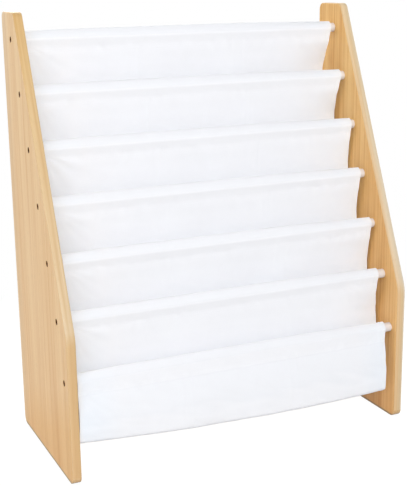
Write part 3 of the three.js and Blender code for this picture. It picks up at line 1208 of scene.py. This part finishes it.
def lean_back(zone, x, depth):
    """How far back the cloth lies, at x across the shelf and that depth below a dowel."""
    tier = TIERS[zone]
    left_end, right_end = edges_at(zone, 60)
    share = np.clip((x - left_end) / (right_end - left_end), 0, 1)
    free = smooth(depth, 18, 55)
    swung = np.clip((x - right_end + SWING_WIDTH) / SWING_WIDTH, 0, 1)

    total = THIRDS * np.abs(np.sin(3 * math.pi * share)) * free
    total += END_CURL * np.abs(2 * share - 1) ** 6 * free
    total += (RIGHT_SWINGS[zone] - 1) * swung**2 * free
    total += WAVES * ripples(tier["waves"], x, depth) * free
    total += CRUMPLE * ripples(tier["crumple"], x, depth) * smooth(depth, 10, 20)
    drag = LAST_DRAG if zone == POCKETS else DRAG
    total += drag * ripples(tier["drag"], x, depth) * free

    for place, size in zip(tier["creases"], tier["crease_size"]):
        away = x - (left_end + place * (right_end - left_end))
        total -= size * np.exp(-((away / CREASE_WIDTH) ** 2)) * smooth(depth, 12, 8)

    gathered = np.exp(-np.maximum(depth - GATHERED_AT, 0) / 13) * smooth(depth, 9, 8)
    for place, size, slant in zip(tier["puckers"], tier["pucker_size"], tier["pucker_lean"]):
        away = x - (left_end + place * (right_end - left_end)) - slant * (depth - GATHERED_AT)
        total += size * np.exp(-((away / PUCKER_WIDTH) ** 2)) * gathered

    total += fan(tier, x - left_end, depth) * LEFT_FAN
    total += fan(tier, right_end - x, depth) * RIGHT_FAN
    return total


print("the cloth leans back by", lean_back(0, np.array([-200.0, 0.0, 270.0]), 80).round(1), "mm")

# %% [markdown]
# ## Hang the cloth
#
# With the section and the folds, one function says where any point of the cloth is. The
# sheet is sampled from it, closely where it shows and loosely where it is hidden. The
# ends are real hems: the canvas turns back on itself and lies doubled for a centimetre. A
# Solidify modifier would give the sheet its thickness too, but not the hems' round turn.

# %% Where a point of the cloth hangs
BOTTOM_SAG = 4.0
END_LIFT = 14.0
# how much of the sleeve's ridge stands, at these shares of the width
RIDGE_STANDS = ((0, 0.12, 0.70, 1), (0.75, 1.0, 1.0, 0.40))
# the drop to the next dowel, from which down a wall's own folds no longer change
TIER_DROP = 83


def hang(rows, shares):
    """Points (across, along, xyz) of the middle of the cloth, in millimetres."""
    points = np.zeros((len(shares), len(rows), 3))
    settle = END_LIFT * (1 - shares) ** 2 - BOTTOM_SAG * (1 - np.abs(2 * shares - 1) ** 2)
    lowered = RIDGE * (1 - np.interp(shares, *RIDGE_STANDS))
    for k, (y, z, zone, later) in enumerate(rows):
        zone = int(zone)
        depth = DOWELS[zone][1] - z
        low_end, high_end = edges_at(zone, depth)
        x = low_end + shares * (high_end - low_end)
        back_by = lean_back(zone, x, min(depth, TIER_DROP) if later else depth)
        below = depth
        if later:
            below = DOWELS[zone + 1][1] - z
            low_next, high_next = edges_at(zone + 1, below)
            x = x * (1 - later) + (low_next + shares * (high_next - low_next)) * later
            back_by = back_by * (1 - later) + lean_back(zone + 1, x, below) * later
        # only below the front seam can the pocket's bottom rise and sag
        hangs = later or zone > rows[0, 2]
        loose = smooth(below, SEAM_BOTTOM, POCKET_DEPTH - SEAM_BOTTOM) if hangs else 0.0
        raised = max(-depth / (SLEEVE_RADIUS + RIDGE), 0.0) ** 2
        points[:, k, 0] = x
        points[:, k, 1] = y + back_by
        points[:, k, 2] = z + settle * loose - lowered * raised
    return points


def unit(vectors):
    return vectors / np.maximum(np.linalg.norm(vectors, axis=-1, keepdims=True), 1e-9)


def outward(points):
    """Normals of the sheet on its outer side, away from the inside of the sleeve."""
    along = np.gradient(points, axis=1)
    across = np.gradient(points, axis=0)
    return unit(np.cross(along, across))


print("the cloth is", CLOTH_THICKNESS, "mm thick")

# %% Sheets with hems
HEM_WIDTH = 10.0
HEM_PITCH = 0.5
FOLD_SIDES = 6
ACROSS = 132
# how much closer the stations are at the ends, and where they make room for a crease
CLOSER_ENDS = 0.35
CREASE_STEP = 0.8
LEAST_GAP = 0.0022


def stations(zone):
    """Shares across the cloth, closer together towards the ends and at that zone's creases."""
    even = np.linspace(0, 1, ACROSS)
    even = even - CLOSER_ENDS * np.sin(2 * math.pi * even) / (2 * math.pi)
    close = np.array([-2, -1, 0, 1, 2]) * CREASE_WIDTH * CREASE_STEP / CLOTH_WIDTH
    lines = (TIERS[zone]["creases"][:, None] + close).ravel()
    clear = [place for place in even if np.abs(lines - place).min() > LEAST_GAP]
    return np.sort(np.concatenate([clear, lines]))


def hemmed(points, shares):
    """The sheet with both ends turned back: its points, normals, and places across."""
    normals = outward(points)
    width = np.linalg.norm(points[-1] - points[0], axis=-1).mean()
    places = shares * width
    last = len(shares) - 1

    def behind(k, place):
        """A row of the turned ply, which lies behind the cloth."""
        return points[k] - normals[k] * HEM_PITCH, -normals[k], place

    def fold(edge, inner, place):
        """The rows round one end, from the turned ply to the face of the cloth."""
        out = unit(points[edge] - points[inner])
        middle = points[edge] - normals[edge] * HEM_PITCH / 2
        for step in range(1, FOLD_SIDES):
            angle = math.pi * (1 - step / FOLD_SIDES)
            direction = normals[edge] * math.cos(angle) + out * math.sin(angle)
            yield middle + direction * HEM_PITCH / 2, direction, place

    inwards = range(last, -1, -1)
    made = [
        *(behind(k, -places[k]) for k in inwards if 0 < places[k] <= HEM_WIDTH),
        behind(0, 0.0),
        *fold(0, 1, 0.0),
        *zip(points, normals, places),
        *reversed(list(fold(last, last - 1, width))),
        behind(last, width),
        *(behind(k, 2 * width - places[k]) for k in inwards if 0 < width - places[k] <= HEM_WIDTH),
    ]
    return [np.array(column) for column in zip(*made)]


def sheet_mesh(name, points, normals, places, along):
    """A closed sheet: two faces half a thickness either side of the points."""
    count, size = points.shape[:2]
    half = CLOTH_THICKNESS / 2
    vertices = np.concatenate([points + normals * half, points - normals * half]) * MM
    under = count * size
    grid = np.arange(under).reshape(count, size)
    quads = np.stack([grid[:-1, :-1], grid[1:, :-1], grid[1:, 1:], grid[:-1, 1:]], axis=-1)
    quads = quads.reshape(-1, 4)
    # the rim goes round the four sides of the sheet
    edge = np.concatenate([grid[:, 0], grid[-1, 1:], grid[-2::-1, -1], grid[0, -2:0:-1]])
    following = np.roll(edge, -1)
    rim = np.column_stack([edge, following, following + under, edge + under])
    faces = np.concatenate([quads[:, ::-1], quads + under, rim]).tolist()
    made = piece(name, vertices.reshape(-1, 3), faces, canvas, sharp_angle=70)
    flat = np.zeros((count, size, 3))
    flat[:, :, 0] = places[:, None]
    flat[:, :, 1] = along[None, :]
    store(made.data, "thread", "FLOAT_VECTOR", "POINT", np.concatenate([flat, flat]) * MM)
    return made


print("stations across the cloth:", ACROSS)

# %% Make the six pockets
SLINGS = []
for i in range(POCKETS):
    rows, starts = pocket_path(i)
    # the lowest pocket's front wall is in full view, so its creases set the stations
    shares = stations(i + 1 if i == POCKETS - 1 else i)
    along = run(rows[:, :2])
    sheet = sheet_mesh(f"sling_{i + 1}", *hemmed(hang(rows, shares), shares), along)
    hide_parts(f"sling_pocket_{i + 1}")
    SLINGS.append((sheet, rows, starts, along[-1]))
    print(sheet.name, len(sheet.data.polygons), "faces")

# %% [markdown]
# ## Stitches
#
# Two rows of lockstitch hold each sleeve closed, and one row holds each hem. A stitch
# is a short length of thread that dips into the cloth at both ends, so a small spindle
# laid on the surface is enough, and a few thousand of them still make a light mesh.

# %% Rows of stitches
STITCH = 3.0
STITCH_PITCH = 3.7
THREAD_RADIUS = 0.21
THREAD_SINKS = 0.75  # a spindle thinner than this share of it sinks into the cloth
SPINDLE = ((0.0, 0.15), (0.14, 0.75), (0.5, 1.0), (0.86, 0.75), (1.0, 0.15))


def spindles(line, normals):
    """One small spindle after another along a line on the cloth."""
    lengths = run(line)

    def at(values, place):
        return np.array([np.interp(place, lengths, values[:, c]) for c in range(3)])

    vertices, faces = [], []
    for k in range(int(lengths[-1] // STITCH_PITCH)):
        begin = (k + 0.5) * STITCH_PITCH - STITCH / 2
        spots = [at(line, begin + share * STITCH) for share, _ in SPINDLE]
        normal = unit(at(normals, begin))
        across = np.cross(normal, unit(spots[-1] - spots[0]))
        first = len(vertices)
        for spot, (_, size) in zip(spots, SPINDLE):
            lift = (size - THREAD_SINKS) * THREAD_RADIUS
            for turn in range(4):
                angle = math.pi * (turn / 2 + 0.25)
                vertices.append(
                    spot
                    + normal * (lift + math.sin(angle) * THREAD_RADIUS * size)
                    + across * math.cos(angle) * THREAD_RADIUS * size
                )
        faces += ring_faces(first, len(SPINDLE), 4, ends=True)
    return vertices, faces


print("stitch", STITCH, "mm every", STITCH_PITCH, "mm")

# %% Sew the pockets
# two lines at each sleeve, and one along each hem, just inside its turned edge
SEAM_LINES = (SEAM_DROP + 0.6, SEAM_BOTTOM - 0.8)
HEM_LINES = (HEM_WIDTH - 1.6, CLOTH_WIDTH - HEM_WIDTH + 1.6)
SEWN_SHARES = np.linspace(0.004, 0.996, 150)

sewing, start = new_material("sewing_thread")
twist = start.coordinates("Object").scaled(2400.0, 2400.0, 2400.0).noise(1.0)
finish_material(
    start,
    Base_Color=twist.blend((0.90, 0.905, 0.93, 1), (0.80, 0.80, 0.83, 1)),
    Roughness=0.7,
    Normal=twist.bump(0.00008, 0.5),
)


def surface_line(rows, shares):
    """Points and normals on the outer face of the cloth."""
    points = hang(rows, shares)
    normals = outward(points)
    return points + normals * (CLOTH_THICKNESS / 2), normals


def seam_rows(rows, among, dowel, front):
    """The rows of the front ply that are nearest to the two lines below that dowel."""
    plies = [k for k in among if rows[k, 0] < dowel[0] - front]
    return [min(plies, key=lambda k: abs(dowel[1] - rows[k, 1] - drop)) for drop in SEAM_LINES]


for i, (sheet, rows, starts, length) in enumerate(SLINGS):
    seams = seam_rows(rows, range(starts["wall"]), DOWELS[i], SEAM_FORWARD)
    if "end" in starts:
        end_rows = range(starts["end"] - 3, len(rows))
        seams += seam_rows(rows, end_rows, DOWELS[i + 1], LAST_SEAM_FORWARD)
    points, normals = surface_line(rows, SEWN_SHARES)
    lines = [(points[:, k], normals[:, k]) for k in dict.fromkeys(seams)]
    for distance in HEM_LINES:
        near = np.array([distance - 2, distance, distance + 2]) / CLOTH_WIDTH
        points, normals = surface_line(rows, near)
        lines.append((points[1], normals[1]))
    vertices, faces = [], []
    for line in lines:
        more, quads = spindles(*line)
        faces += [tuple(v + len(vertices) for v in quad) for quad in quads]
        vertices += more
    made = piece(f"stitching_{i + 1}", np.array(vertices) * MM, faces, sewing)
    print(made.name, len(faces), "faces")

# %% [markdown]
# ## Close the file
#
# The Standard view keeps colours as they were written.

# %% The end
bpy.context.scene.view_settings.view_transform = "Standard"
